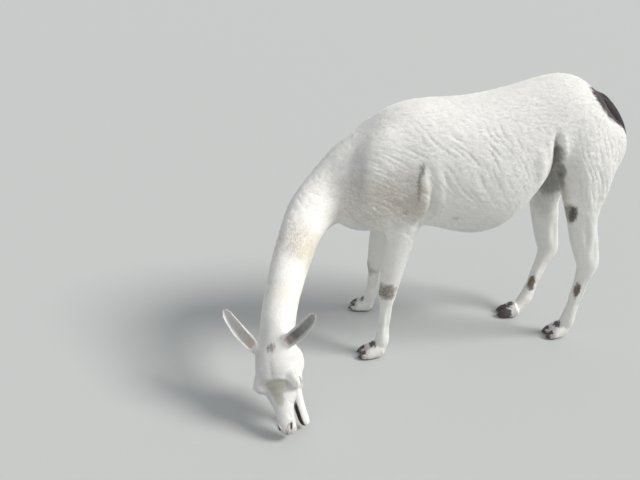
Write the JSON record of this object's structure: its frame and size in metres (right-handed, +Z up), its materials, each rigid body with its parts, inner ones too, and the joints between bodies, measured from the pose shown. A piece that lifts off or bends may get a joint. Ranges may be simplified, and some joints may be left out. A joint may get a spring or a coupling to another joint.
{
  "type": "grazing llama model",
  "caption": "Life-size still model of a shorn white llama grazing, neck bent down and round to its left, mouth just above the floor; stands on flat soles.",
  "frame": {"origin": "on the floor, below the middle of the whole model's box", "axes": "+Z up; +X towards the rump, along the trunk; -Y is the llama's left, the side it grazes to"},
  "size_m": [1.62, 0.9402, 1.1516],
  "materials": {
    "fleece": "short dense matte coat",
    "ear_hide": "thin hide with fine hair",
    "eye": "dark, wet gloss",
    "tail_hair": "dense matte hair",
    "horn": "worn horn"
  },
  "bodies": {
    "root": {"ear_left": "ear_hide", "ear_right": "ear_hide", "eye_left": "eye", "eye_right": "eye", "tail": "tail_hair", "trunk": "fleece", "neck_lower": "fleece", "neck_upper": "fleece", "head": "fleece", "lower_jaw": "fleece", "foreleg_left_upper": "fleece", "foreleg_left_cannon": "fleece", "foreleg_left_foot": "fleece", "foreleg_right_upper": "fleece", "foreleg_right_cannon": "fleece", "foreleg_right_foot": "fleece", "hindleg_left_upper": "fleece", "hindleg_left_cannon": "fleece", "hindleg_left_foot": "fleece", "hindleg_right_upper": "fleece", "hindleg_right_cannon": "fleece", "hindleg_right_foot": "fleece", "foreleg_left_nail_left": "horn", "foreleg_left_nail_right": "horn", "foreleg_right_nail_left": "horn", "foreleg_right_nail_right": "horn", "hindleg_left_nail_left": "horn", "hindleg_left_nail_right": "horn", "hindleg_right_nail_left": "horn", "hindleg_right_nail_right": "horn"}
  },
  "joints": []
}
